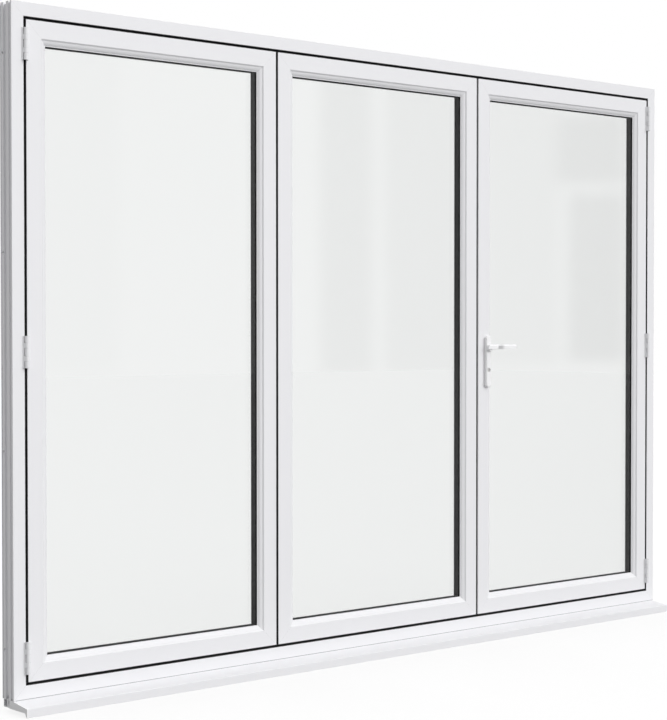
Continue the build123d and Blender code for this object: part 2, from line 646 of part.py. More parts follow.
def main():
    os.makedirs("parts", exist_ok=True)
    foot, right, head, left = frame_members()
    save("frame_threshold", foot)
    save("frame_head", head)
    save("frame_right_jamb", right)
    save("frame_left_jamb", left)
    opening = shrunk((0, 0, SET_WIDTH, FRAME_HEIGHT), FRAME_FACE)
    save("frame_seal", ring(opening, SEAL_THICKNESS, (SEAL_SETBACK, SEAL_SETBACK + SEAL_DEPTH)))
    save("sill", sill())
    save("sill_end_caps", *sill_end_caps())

    left_box = leaf_box(LEFT_LEAF_X, LEFT_LEAF_X + LEFT_LEAF_WIDTH)
    middle_box = leaf_box(MIDDLE_LEAF_X, MIDDLE_LEAF_X + MIDDLE_LEAF_WIDTH)
    traffic_box = leaf_box(TRAFFIC_LEAF_X, TRAFFIC_LEAF_END)

    bulb = block((left_box[2], left_box[2] + LEAF_GAP - SEAL_THICKNESS),
                 (BULB_SETBACK, SEAL_SETBACK + SEAL_DEPTH), (LEAF_BOTTOM, LEAF_TOP))
    save_leaf("left_leaf", left_box, edge_seal(left_box) + bulb)

    low_carrier, low_bore = carrier(False)
    high_carrier, high_bore = carrier(True)
    free_side = block((middle_box[2], middle_box[2] + 2 * MEETING_GAP), (-1, 2 * FRAME_DEPTH),
                      (0, FRAME_HEIGHT))
    save_leaf("middle_leaf", middle_box, edge_seal(middle_box) - free_side,
              {"bottom_rail": [low_bore], "top_rail": [high_bore]})
    save("middle_leaf_carriers", low_carrier, high_carrier)
    save("middle_leaf_bolt_handle", bolt_handle())
    save("meeting_cover_strip", meeting_cover())

    plate_seat = faceplate()
    setback = block((TRAFFIC_LEAF_X - 2 * SEAL_THICKNESS, TRAFFIC_LEAF_X), (-1, MEETING_SEAL_SETBACK),
                    (0, FRAME_HEIGHT))
    spindle_hole = Pos(SPINDLE_X, LEAF_DEPTH / 2, HANDLE_HEIGHT) * Rot(90, 0, 0) * Cylinder(
        SPINDLE_HOLE_RADIUS, 2 * LEAF_DEPTH)
    cylinder_hole = euro_bar(CYLINDER_FIT, (-LEAF_DEPTH, 2 * LEAF_DEPTH))
    save_leaf("traffic_leaf", traffic_box, edge_seal(traffic_box) - setback,
              {"left_stile": [plate_seat, spindle_hole, cylinder_hole]})
    save("lock_faceplate", plate_seat)
    outside_plate = backplate()
    save("handle_backplates", outside_plate, inside_of(outside_plate))
    outside_lever, inside_lever = levers()
    save("outside_lever", outside_lever)
    save("inside_lever", inside_lever)
    save("lock_cylinder", lock_cylinder())

    left_gap = OPENING_LEFT + LEAF_GAP / 2
    fold_gap = left_box[2] + LEAF_GAP / 2
    right_gap = OPENING_RIGHT - LEAF_GAP / 2
    still, bored = hinge_parts(False), hinge_parts(True)
    lines = {
        "left_hinge": (still, left_gap, -HINGE_RADIUS, 0, True, "frame", "leaf"),
        "fold_hinge": (still, fold_gap, LEAF_DEPTH + HINGE_RADIUS, 180, False, "left_leaf", "middle_leaf"),
        "traffic_hinge": (bored, right_gap, -HINGE_RADIUS, 0, False, "frame", "leaf"),
    }
    for name, ((fixed, moving), x, y, turn, flip, fixed_to, turns_with) in lines.items():
        fixed_set, leaf_set = hinge_line(fixed, moving, x, y, turn, flip)
        save(f"{name}_{fixed_to}_halves", *fixed_set)
        save(f"{name}_{turns_with}_halves", *leaf_set)


main()
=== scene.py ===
import json
import math

import bmesh
import bpy
from mathutils import Matrix, Vector


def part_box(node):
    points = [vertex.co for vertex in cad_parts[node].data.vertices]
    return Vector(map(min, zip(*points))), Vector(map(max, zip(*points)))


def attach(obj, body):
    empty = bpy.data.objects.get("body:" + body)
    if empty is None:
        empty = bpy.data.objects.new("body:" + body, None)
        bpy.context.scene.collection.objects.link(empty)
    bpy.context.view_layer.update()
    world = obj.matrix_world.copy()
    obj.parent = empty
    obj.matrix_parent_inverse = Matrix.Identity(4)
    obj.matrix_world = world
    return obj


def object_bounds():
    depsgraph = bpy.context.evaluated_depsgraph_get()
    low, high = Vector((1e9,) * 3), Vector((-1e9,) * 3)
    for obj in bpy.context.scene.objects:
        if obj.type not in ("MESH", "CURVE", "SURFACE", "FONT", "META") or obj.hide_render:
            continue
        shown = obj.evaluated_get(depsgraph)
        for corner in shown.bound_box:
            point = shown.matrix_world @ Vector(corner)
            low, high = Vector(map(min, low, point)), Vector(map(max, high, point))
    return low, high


# The finish of a three-leaf bi-fold door set, its small fittings, and a white studio round it.
# Metres. Seen from outside, +X runs to the right and +Z up, and -Y points out of the building.

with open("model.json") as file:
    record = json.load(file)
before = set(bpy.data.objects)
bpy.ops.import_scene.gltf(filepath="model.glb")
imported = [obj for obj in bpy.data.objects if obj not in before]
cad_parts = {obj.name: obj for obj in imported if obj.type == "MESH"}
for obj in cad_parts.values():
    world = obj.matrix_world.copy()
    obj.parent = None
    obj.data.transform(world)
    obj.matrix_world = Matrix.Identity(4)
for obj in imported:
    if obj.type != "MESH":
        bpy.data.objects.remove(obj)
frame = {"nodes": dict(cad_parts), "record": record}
cad_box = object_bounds()

NODES = frame["nodes"]
RECORD = frame["record"]
NODE_SLOTS = {part["node"]: part["material_slot"] for part in RECORD["subparts"]}

# The camera that took the view: place in metres, angles in degrees, lens for a 36 mm long side.
CAMERA_PLACE = (-4.2171, -4.6244, 1.1438)
CAMERA_YAW = 40.937
CAMERA_PITCH = 1.213
CAMERA_ROLL = 0.011
CAMERA_LENS = 88.15
CAMERA_RISE = 0.0065

# The floor lies just under the sill. Its glow is for the eye only, and its true colour lights the set
# from below. What a pane mirrors of it is dimmer.
FLOOR_DROP = 0.0006
FLOOR_SIZE = 60.0
FLOOR_COLOUR = 0.305
FLOOR_SHOWN_COLOUR = 0.12
FLOOR_GLOW = 0.85
FLOOR_MIRRORED_GLOW = 0.20

# Soft light from all round, brighter overhead, with a wide key lamp outside and a wide fill lamp inside.
AMBIENT = 0.425
OVERHEAD = 1.35
OVERHEAD_SHARPNESS = 4.0
LAMPS = {
    "outside_key": {"strength": 2.03, "spread": 50, "comes_from": (0.38, -0.82, 0.43)},
    "inside_fill": {"strength": 1.45, "spread": 50, "comes_from": (0.25, 0.85, 0.42)},
}

# Glass and gloss mirror an even studio with dim soft panels round it. For each panel: its bearing from
# straight out of the building, its height above eye level, both from low to high in degrees, and how
# dim it is. Then how soft the panels' edges are, in degrees, and how bright the studio is in a mirror.
PANELS = (
    ((31.0, 34.0), (-1.5, 40), 0.20),
    ((40.5, 42.2), (-1.5, 40), 0.75),
    ((42.6, 45.0), (-1.5, 40), 0.60),
    ((45.8, 48.2), (-1.2, 40), 0.42),
    ((48.1, 50.3), (4.6, 6.8), 0.95),
    ((48.5, 50.3), (-1.1, 4.3), 0.95),
    ((-60.0, -42.0), (-1.5, 50), 0.35),
    ((-15.0, 5.0), (-1.5, 50), 0.20),
    ((62.0, 80.0), (-1.5, 50), 0.35),
)
PANEL_SOFT = 0.4
MIRROR_LEVEL = 0.5

GLASS_TINT = (0.975, 0.981, 0.978)

# Mitred corners: how wide the hairline between two lengths is, and its colour.
SEAM_WIDTH = 0.0003
SEAM_COLOUR = (0.42, 0.42, 0.43)

# How deep the grain of a finish is where its bump is 1, and how close together its slow ripple, its
# patches of gloss and the scratches on metal are
GRAIN_DEPTH = 0.0002
RIPPLE_SCALE = 60.0
PATCH_SCALE = 3.5
SCRATCH_SCALE = 1600.0
SCRATCH_STRETCH = (1, 1, 0.02)

# Screws: head radius, rise of the rim and the crown, and the cross recess.
SCREW_RADIUS = 0.0042
SCREW_RIM = 0.0004
SCREW_CROWN = 0.0009
SCREW_SIDES = 24
CROWN_SHARE = 0.8
RECESS_REACH = 0.0024
RECESS_HALF = 0.00045
RECESS_DEPTH = 0.0007
RECESS_TAPER = 0.8

# Where screws sit, from the ends of what they hold, and their sizes against the screw above
HANDLE_SCREW_INSET = 0.016
HANDLE_SCREW_SIZE = 1.0
BOLT_PLATE_THICKNESS = 0.008
BOLT_SCREW_LOW_INSET = 0.0075
BOLT_SCREW_HIGH_INSET = 0.014
BOLT_SCREW_SIZE = 0.9
FACEPLATE_SCREWS = 8
FACEPLATE_SCREW_INSET = 0.020
FACEPLATE_SCREW_SIZE = 0.8
FIXING_HEAD_SIZE = 1.5

# Vent holes along the inner faces of the spacers, drawn as near-black discs just proud of the face: painted
# shade inside the holes
SPACER_DEPTH = 0.013
VENT_PITCH = 0.012
VENT_RADIUS = 0.0006
VENT_SIDES = 6
VENT_PROUD = 0.00005
VENT_MARGIN = 0.012

# Painted shade: a thin dark strip along the foot of the frame, standing in for the shadow in the gap
# between frame and sill
SHADOW_LINE_HEIGHT = 0.0012
SHADOW_LINE_PROUD = 0.0003

# Lock bolts in the traffic leaf's edge, and the keeps that take them in the middle leaf's edge
CYLINDER_RADIUS = 0.0085
CYLINDER_DROP = 0.0815
LATCH_HALF = 0.008
MAIN_BOLT_HALF = 0.017
END_BOLT_HALF = 0.012
END_BOLT_INSET = 0.16
BOLT_PROUD = 0.0025
BOLT_WIDTH = 0.010
BOLT_SEAT = 0.001
BOLT_ROUND = 0.0008
KEEP_THICKNESS = 0.0012
KEEP_WIDTH = 0.018
KEEP_MARGIN = 0.014
KEEP_SEAT = 0.0005
KEEP_ROUND = 0.0003


def maths(tree, operation, *values):
    """A Math node on sockets and numbers, and its result."""
    node = tree.nodes.new("ShaderNodeMath")
    node.operation = operation
    for socket, value in zip(node.inputs, values):
        if isinstance(value, bpy.types.NodeSocket):
            tree.links.new(value, socket)
        else:
            socket.default_value = value
    return node.outputs[0]


def new_group(name, inputs, outputs):
    """A shader group with named number inputs and outputs: the tree, its input and its output sockets."""
    group = bpy.data.node_groups.new(name, "ShaderNodeTree")
    for words, value in inputs.items():
        socket = group.interface.new_socket(words, in_out="INPUT", socket_type="NodeSocketFloat")
        socket.default_value = value
    for words in outputs:
        group.interface.new_socket(words, in_out="OUTPUT", socket_type="NodeSocketFloat")
    return group, group.nodes.new("NodeGroupInput").outputs, group.nodes.new("NodeGroupOutput").inputs


def noise(tree, scale, detail, stretch=None):
    """Noise on the piece's own coordinates, in metres, drawn out along the axes where stretch says so."""
    place = tree.nodes.new("ShaderNodeTexCoord").outputs["Object"]
    if stretch:
        drawn = tree.nodes.new("ShaderNodeMapping")
        drawn.inputs["Scale"].default_value = stretch
        tree.links.new(place, drawn.inputs["Vector"])
        place = drawn.outputs["Vector"]
    texture = tree.nodes.new("ShaderNodeTexNoise")
    texture.inputs["Detail"].default_value = detail
    tree.links.new(place, texture.inputs["Vector"])
    if isinstance(scale, bpy.types.NodeSocket):
        tree.links.new(scale, texture.inputs["Scale"])
    else:
        texture.inputs["Scale"].default_value = scale
    return texture.outputs["Fac"]


def uneven_gloss(group, pattern, given, result):
    """Roughness that a pattern raises and lowers round its middle."""
    swing = maths(group, "SUBTRACT", pattern, 0.5)
    rough = maths(group, "MULTIPLY_ADD", swing, given["Spread"], given["Roughness"])
    group.links.new(rough, result["Roughness"])


def coat_skin_group():
    """The skin of a sprayed or moulded face: fine grain, a slow ripple under it, and uneven gloss."""
    inputs = {"Grain": 900.0, "Ripple": 0.3, "Roughness": 0.35, "Spread": 0.05}
    group, given, result = new_group("coat_skin", inputs, ("Height", "Roughness"))
    ripple = maths(group, "MULTIPLY", noise(group, RIPPLE_SCALE, 2), given["Ripple"])
    group.links.new(maths(group, "ADD", noise(group, given["Grain"], 3), ripple), result["Height"])
    uneven_gloss(group, noise(group, PATCH_SCALE, 4), given, result)
    return group


def brushed_group():
    """Fine upright scratches, for satin metal."""
    group, given, result = new_group("brushed", {"Roughness": 0.3, "Spread": 0.2}, ("Height", "Roughness"))
    scratches = noise(group, SCRATCH_SCALE, 2, SCRATCH_STRETCH)
    group.links.new(scratches, result["Height"])
    uneven_gloss(group, scratches, given, result)
    return group


def mitre_seam_group():
    """1 on the diagonal hairlines at the corners of a rectangle of mitred lengths, in the XZ plane."""
    inputs = {"Middle X": 0.0, "Middle Z": 1.0, "Half Width": 1.0, "Half Height": 1.0}
    group, given, result = new_group("mitre_seam", inputs, ("Seam",))
    parts = group.nodes.new("ShaderNodeSeparateXYZ")
    group.links.new(group.nodes.new("ShaderNodeTexCoord").outputs["Object"], parts.inputs[0])
    inset = []
    for axis, middle, half in (("X", "Middle X", "Half Width"), ("Z", "Middle Z", "Half Height")):
        away = maths(group, "ABSOLUTE", maths(group, "SUBTRACT", parts.outputs[axis], given[middle]))
        inset.append(maths(group, "SUBTRACT", given[half], away))
    off_line = maths(group, "ABSOLUTE", maths(group, "SUBTRACT", *inset))
    group.links.new(maths(group, "LESS_THAN", off_line, SEAM_WIDTH / 2), result["Seam"])
    return group


def effect(tree, group, values):
    """A group in a material, with its inputs set by name, and its outputs."""
    node = tree.nodes.new("ShaderNodeGroup")
    node.node_tree = group
    for words, value in values.items():
        node.inputs[words].default_value = value
    return node.outputs


def new_material(name):
    material = bpy.data.materials.new(name)
    material.use_nodes = True
    tree = material.node_tree
    return material, tree, tree.nodes["Principled BSDF"]


def finish(name, colour, skin, values, bump, settings=None, corners=None):
    """A surface of one base colour, with grain and gloss from a skin group, and seams at mitred corners."""
    material, tree, shader = new_material(name)
    shader.inputs["Base Color"].default_value = (*colour, 1)
    for words, value in (settings or {}).items():
        shader.inputs[words].default_value = value
    surface = effect(tree, skin, values)
    height = surface["Height"]
    if corners:
        seam = effect(tree, MITRE_SEAM, corners)["Seam"]
        tint = tree.nodes.new("ShaderNodeMixRGB")
        tint.inputs[1].default_value = (*colour, 1)
        tint.inputs[2].default_value = (*SEAM_COLOUR, 1)
        tree.links.new(seam, tint.inputs[0])
        tree.links.new(tint.outputs[0], shader.inputs["Base Color"])
        height = maths(tree, "SUBTRACT", height, seam)
    relief = tree.nodes.new("ShaderNodeBump")
    relief.inputs["Strength"].default_value = bump
    relief.inputs["Distance"].default_value = GRAIN_DEPTH
    tree.links.new(height, relief.inputs["Height"])
    tree.links.new(surface["Roughness"], shader.inputs["Roughness"])
    tree.links.new(relief.outputs["Normal"], shader.inputs["Normal"])
    return material


def clear_glass():
    """Float glass with a faint tint. Shadow rays pass, so what is behind stays lit."""
    material, tree, shader = new_material("clear_glass")
    shader.inputs["Base Color"].default_value = (*GLASS_TINT, 1)
    shader.inputs["Roughness"].default_value = 0.0
    shader.inputs["IOR"].default_value = 1.5
    shader.inputs["Transmission Weight"].default_value = 1.0
    path = tree.nodes.new("ShaderNodeLightPath")
    tree.links.new(maths(tree, "SUBTRACT", 1.0, path.outputs["Is Shadow Ray"]), shader.inputs["Alpha"])
    return material


def mitre_corners(nodes):
    """The rectangle round some nodes, as the mitre seam's inputs."""
    boxes = [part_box(node) for node in nodes]
    low_x, high_x = min(low[0] for low, _ in boxes), max(high[0] for _, high in boxes)
    low_z, high_z = min(low[2] for low, _ in boxes), max(high[2] for _, high in boxes)
    return {
        "Middle X": (low_x + high_x) / 2,
        "Middle Z": (low_z + high_z) / 2,
        "Half Width": (high_x - low_x) / 2,
        "Half Height": (high_z - low_z) / 2,
    }


def make_camera():
    yaw, pitch, roll = (math.radians(a) for a in (CAMERA_YAW, CAMERA_PITCH, CAMERA_ROLL))
    ahead = Vector((math.sin(yaw) * math.cos(pitch), math.cos(yaw) * math.cos(pitch), -math.sin(pitch)))
    side = Vector((math.cos(yaw), -math.sin(yaw), 0))
    up = side.cross(ahead)
    turned_side = side * math.cos(roll) - up * math.sin(roll)
    turned_up = side * math.sin(roll) + up * math.cos(roll)
    turn = Matrix((turned_side, turned_up, -ahead)).transposed().to_4x4()
    data = bpy.data.cameras.new("view")
    data.lens = CAMERA_LENS
    data.sensor_width = 36
    data.shift_y = CAMERA_RISE
    data.clip_end = 200
    camera = bpy.data.objects.new("view", data)
    camera.matrix_world = Matrix.Translation(CAMERA_PLACE) @ turn
    bpy.context.scene.collection.objects.link(camera)
    bpy.context.scene.camera = camera


def between(tree, angle, limits):
    """1 where an angle is between two limits in degrees, with soft edges."""
    low, high = (math.radians(limit) for limit in limits)
    soft = math.radians(PANEL_SOFT)
    edges = []
    for start, end in ((low - soft, low + soft), (high + soft, high - soft)):
        step = tree.nodes.new("ShaderNodeMapRange")
        step.interpolation_type = "SMOOTHSTEP"
        step.inputs["From Min"].default_value = start
        step.inputs["From Max"].default_value = end
        tree.links.new(angle, step.inputs["Value"])
        edges.append(step.outputs["Result"])
    return maths(tree, "MULTIPLY", *edges)


def shown_to_eye(tree, path):
    """1 for what the eye sees directly, mirrored or through glass, and 0 for light that falls on things."""
    eye = maths(tree, "MAXIMUM", path.outputs["Is Camera Ray"], path.outputs["Is Glossy Ray"])
    return maths(tree, "MAXIMUM", eye, path.outputs["Is Transmission Ray"])


def after_mirror(tree, path):
    """1 for rays that a glossy face or a pane has mirrored."""
    return maths(tree, "GREATER_THAN", path.outputs["Glossy Depth"], 0.5)


def make_world():
    """White to the eye and through glass, soft light from all round, and dim panels in reflections."""
    world = bpy.data.worlds.new("studio")
    bpy.context.scene.world = world
    world.use_nodes = True
    tree = world.node_tree
    tree.nodes.clear()
    out = tree.nodes.new("ShaderNodeOutputWorld")
    parts = tree.nodes.new("ShaderNodeSeparateXYZ")
    tree.links.new(tree.nodes.new("ShaderNodeTexCoord").outputs["Generated"], parts.inputs[0])
    path = tree.nodes.new("ShaderNodeLightPath")

    height = maths(tree, "POWER", maths(tree, "MAXIMUM", parts.outputs["Z"], 0.0), OVERHEAD_SHARPNESS)
    light = tree.nodes.new("ShaderNodeBackground")
    light.inputs["Color"].default_value = (1, 1, 1, 1)
    tree.links.new(maths(tree, "MULTIPLY_ADD", height, OVERHEAD, AMBIENT), light.inputs["Strength"])

    bearing = maths(tree, "ARCTAN2", parts.outputs["X"], maths(tree, "MULTIPLY", parts.outputs["Y"], -1.0))
    rise = maths(tree, "ARCSINE", parts.outputs["Z"])
    level = MIRROR_LEVEL
    for across, upward, dimness in PANELS:
        panel = maths(tree, "MULTIPLY", between(tree, bearing, across), between(tree, rise, upward))
        level = maths(tree, "MULTIPLY", level, maths(tree, "MULTIPLY_ADD", panel, -dimness, 1.0))
    mirrored = tree.nodes.new("ShaderNodeMixRGB")
    mirrored.inputs[1].default_value = (1, 1, 1, 1)
    tree.links.new(after_mirror(tree, path), mirrored.inputs[0])
    tree.links.new(level, mirrored.inputs[2])
    seen = tree.nodes.new("ShaderNodeBackground")
    tree.links.new(mirrored.outputs[0], seen.inputs["Color"])

    choose = tree.nodes.new("ShaderNodeMixShader")
    tree.links.new(shown_to_eye(tree, path), choose.inputs[0])
    tree.links.new(light.outputs[0], choose.inputs[1])
    tree.links.new(seen.outputs[0], choose.inputs[2])
    tree.links.new(choose.outputs[0], out.inputs["Surface"])


def make_lamps():
    for name, lamp in LAMPS.items():
        sun = bpy.data.lights.new(name, "SUN")
        sun.energy = lamp["strength"]
        sun.angle = math.radians(lamp["spread"])
        holder = bpy.data.objects.new(name, sun)
        holder.rotation_euler = Vector(lamp["comes_from"]).to_track_quat("Z", "Y").to_euler()
        holder.visible_glossy = False
        holder.visible_transmission = False
        bpy.context.scene.collection.objects.link(holder)


def make_floor():
    low = cad_box[0][2] - FLOOR_DROP
    half = FLOOR_SIZE / 2
    corners = [(-half, -half, low), (half, -half, low), (half, half, low), (-half, half, low)]
    mesh = bpy.data.meshes.new("floor")
    mesh.from_pydata(corners, [], [(0, 1, 2, 3)])
    floor = new_piece("floor", mesh)
    material, tree, shader = new_material("pale_floor")
    shader.inputs["Roughness"].default_value = 0.9
    shader.inputs["Specular IOR Level"].default_value = 0.0
    shader.inputs["Emission Color"].default_value = (1, 1, 1, 1)
    path = tree.nodes.new("ShaderNodeLightPath")
    shown = shown_to_eye(tree, path)
    dimming = FLOOR_MIRRORED_GLOW - FLOOR_GLOW
    glow = maths(tree, "MULTIPLY_ADD", after_mirror(tree, path), dimming, FLOOR_GLOW)
    paint = tree.nodes.new("ShaderNodeMixRGB")
    paint.inputs[1].default_value = (FLOOR_COLOUR, FLOOR_COLOUR, FLOOR_COLOUR, 1)
    paint.inputs[2].default_value = (FLOOR_SHOWN_COLOUR, FLOOR_SHOWN_COLOUR, FLOOR_SHOWN_COLOUR, 1)
    tree.links.new(shown, paint.inputs[0])
    tree.links.new(paint.outputs[0], shader.inputs["Base Color"])
    tree.links.new(maths(tree, "MULTIPLY", shown, glow), shader.inputs["Emission Strength"])
    mesh.materials.append(material)


def new_piece(name, mesh):
    piece = bpy.data.objects.new(name, mesh)
    bpy.context.scene.collection.objects.link(piece)
    return piece


def settle(piece, body):
    """Gives a finished piece its body."""
    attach(piece, body)


def bars(name, boxes, material, bevel=0.0):
    """One piece of several boxes, each given by its low and high corners, with their edges taken off."""
    form = bmesh.new()
    for low, high in boxes:
        size = [b - a for a, b in zip(low, high)]
        middle = [(a + b) / 2 for a, b in zip(low, high)]
        bmesh.ops.create_cube(form, size=1, matrix=Matrix.LocRotScale(Vector(middle), None, Vector(size)))
    if bevel:
        bmesh.ops.bevel(form, geom=form.edges[:], offset=bevel, segments=2, profile=0.5, affect="EDGES")
    mesh = bpy.data.meshes.new(name)
    form.to_mesh(mesh)
    form.free()
    mesh.materials.append(material)
    return new_piece(name, mesh)


def screw_head():
    """A crowned screw head with a cross recess, standing on the XY plane."""
    form = bmesh.new()
    rings = []
    crown_radius = SCREW_RADIUS * CROWN_SHARE
    turns = [2 * math.pi * i / SCREW_SIDES for i in range(SCREW_SIDES)]
    for radius, z in ((SCREW_RADIUS, 0), (SCREW_RADIUS, SCREW_RIM), (crown_radius, SCREW_CROWN)):
        rings.append([form.verts.new((radius * math.cos(a), radius * math.sin(a), z)) for a in turns])
    for low, high in zip(rings, rings[1:]):
        for i in range(SCREW_SIDES):
            j = (i + 1) % SCREW_SIDES
            form.faces.new((low[i], low[j], high[j], high[i]))
    a, b = RECESS_HALF, RECESS_REACH
    quarter = ((b, -a), (b, a), (a, a))
    cross = []
    for _ in range(4):
        cross += quarter
        quarter = tuple((-y, x) for x, y in quarter)
    mouth = [form.verts.new((x, y, SCREW_CROWN)) for x, y in cross]
    pit_z = SCREW_CROWN - RECESS_DEPTH
    pit = [form.verts.new((x * RECESS_TAPER, y * RECESS_TAPER, pit_z)) for x, y in cross]
    for i in range(len(cross)):
        j = (i + 1) % len(cross)
        form.faces.new((mouth[j], mouth[i], pit[i], pit[j]))
    form.faces.new(pit)
    form.faces.new(rings[0][::-1])
    rims = []
    for loop in (rings[-1], mouth):
        rims += [form.edges.get((loop[i - 1], loop[i])) for i in range(len(loop))]
    bmesh.ops.triangle_fill(form, edges=rims, use_beauty=True)
    bmesh.ops.recalc_face_normals(form, faces=form.faces[:])
    mesh = bpy.data.meshes.new("screw_head")
    form.to_mesh(mesh)
    form.free()
    return new_piece("screw_head", mesh)


def geometry_tree(name, inputs):
    """A Geometry Nodes tree with named inputs after its geometry: the tree, its input and output nodes."""
    tree = bpy.data.node_groups.new(name, "GeometryNodeTree")
    tree.interface.new_socket("Geometry", in_out="INPUT", socket_type="NodeSocketGeometry")
    for words, kind in inputs.items():
        tree.interface.new_socket(words, in_out="INPUT", socket_type="NodeSocket" + kind)
    tree.interface.new_socket("Geometry", in_out="OUTPUT", socket_type="NodeSocketGeometry")
    return tree, tree.nodes.new("NodeGroupInput"), tree.nodes.new("NodeGroupOutput")


def finish_tree(tree, instances, given, result):
    """Ends a tree: real geometry, then its material."""
    solid = tree.nodes.new("GeometryNodeRealizeInstances")
    coat = tree.nodes.new("GeometryNodeSetMaterial")
    tree.links.new(instances, solid.inputs["Geometry"])
    tree.links.new(solid.outputs["Geometry"], coat.inputs["Geometry"])
    tree.links.new(given.outputs["Finish"], coat.inputs["Material"])
    tree.links.new(coat.outputs["Geometry"], result.inputs["Geometry"])


def screws_tree():
    """A screw at each point of a mesh, standing along the point's facing, its recess turned at random."""
    inputs = {"Screw": "Object", "Size": "Float", "Seed": "Int", "Finish": "Material"}
    tree, given, result = geometry_tree("screws_at_points", inputs)
    facing = tree.nodes.new("GeometryNodeInputNamedAttribute")
    facing.data_type = "FLOAT_VECTOR"
    facing.inputs["Name"].default_value = "facing"
    aim = tree.nodes.new("FunctionNodeAlignRotationToVector")
    aim.axis = "Z"
    tree.links.new(facing.outputs["Attribute"], aim.inputs["Vector"])
    angle = tree.nodes.new("FunctionNodeRandomValue")
    angle.data_type = "FLOAT"
    angle.inputs[3].default_value = math.pi / 2
    tree.links.new(given.outputs["Seed"], angle.inputs["Seed"])
    spin = tree.nodes.new("FunctionNodeAxisAngleToRotation")
    tree.links.new(angle.outputs[1], spin.inputs["Angle"])
    turned = tree.nodes.new("FunctionNodeRotateRotation")
    turned.rotation_space = "LOCAL"
    tree.links.new(aim.outputs["Rotation"], turned.inputs["Rotation"])
    tree.links.new(spin.outputs["Rotation"], turned.inputs["Rotate By"])
    shape = tree.nodes.new("GeometryNodeObjectInfo")
    tree.links.new(given.outputs["Screw"], shape.inputs["Object"])
    place = tree.nodes.new("GeometryNodeInstanceOnPoints")
    tree.links.new(given.outputs["Geometry"], place.inputs["Points"])
    tree.links.new(shape.outputs["Geometry"], place.inputs["Instance"])
    tree.links.new(turned.outputs["Rotation"], place.inputs["Rotation"])
    tree.links.new(given.outputs["Size"], place.inputs["Scale"])
    finish_tree(tree, place.outputs["Instances"], given, result)
    return tree


def vents_tree():
    """Small plugs at an even pitch along each edge of a mesh, their axes across the edge and the Y axis."""
    inputs = {"Pitch": "Float", "Radius": "Float", "Rise": "Float", "Finish": "Material"}
    tree, given, result = geometry_tree("vents_along_bars", inputs)
    bar = tree.nodes.new("GeometryNodeMeshToCurve")
    tree.links.new(given.outputs["Geometry"], bar.inputs["Mesh"])
    spaced = tree.nodes.new("GeometryNodeResampleCurve")
    spaced.mode = "LENGTH"
    tree.links.new(bar.outputs["Curve"], spaced.inputs["Curve"])
    tree.links.new(given.outputs["Pitch"], spaced.inputs["Length"])
    across = tree.nodes.new("ShaderNodeVectorMath")
    across.operation = "CROSS_PRODUCT"
    across.inputs[1].default_value = (0, 1, 0)
    tree.links.new(tree.nodes.new("GeometryNodeInputTangent").outputs["Tangent"], across.inputs[0])
    aim = tree.nodes.new("FunctionNodeAlignRotationToVector")
    aim.axis = "Z"
    tree.links.new(across.outputs[0], aim.inputs["Vector"])
    plug = tree.nodes.new("GeometryNodeMeshCylinder")
    plug.inputs["Vertices"].default_value = VENT_SIDES
    tree.links.new(given.outputs["Radius"], plug.inputs["Radius"])
    tree.links.new(given.outputs["Rise"], plug.inputs["Depth"])
    place = tree.nodes.new("GeometryNodeInstanceOnPoints")
    tree.links.new(spaced.outputs["Curve"], place.inputs["Points"])
    tree.links.new(plug.outputs["Mesh"], place.inputs["Instance"])
    tree.links.new(aim.outputs["Rotation"], place.inputs["Rotation"])
    finish_tree(tree, place.outputs["Instances"], given, result)
    return tree


def grown(name, mesh, tree, values, body):
    """A piece made by a Geometry Nodes tree from a guide mesh, turned into a plain mesh."""
    piece = new_piece(name, mesh)
    maker = piece.modifiers.new("maker", "NODES")
    maker.node_group = tree
    for item in tree.interface.items_tree:
        if item.in_out == "INPUT" and item.name in values:
            maker[item.identifier] = values[item.name]
    made = piece.evaluated_get(bpy.context.evaluated_depsgraph_get())
    solid = bpy.data.meshes.new_from_object(made)
    piece.modifiers.clear()
    piece.data = solid
    settle(piece, body)


def screws(name, places, size, body):
    """A set of screws, each given by its place and the way it faces."""
    mesh = bpy.data.meshes.new(name)
    mesh.from_pydata([place for place, _ in places], [], [])
    facing = mesh.attributes.new("facing", "FLOAT_VECTOR", "POINT")
    for i, (_, direction) in enumerate(places):
        facing.data[i].vector = direction
    values = {"Screw": SCREW, "Size": size, "Seed": len(places), "Finish": FINISHES["satin_nickel"]}
    grown(name, mesh, SCREWS_TREE, values, body)


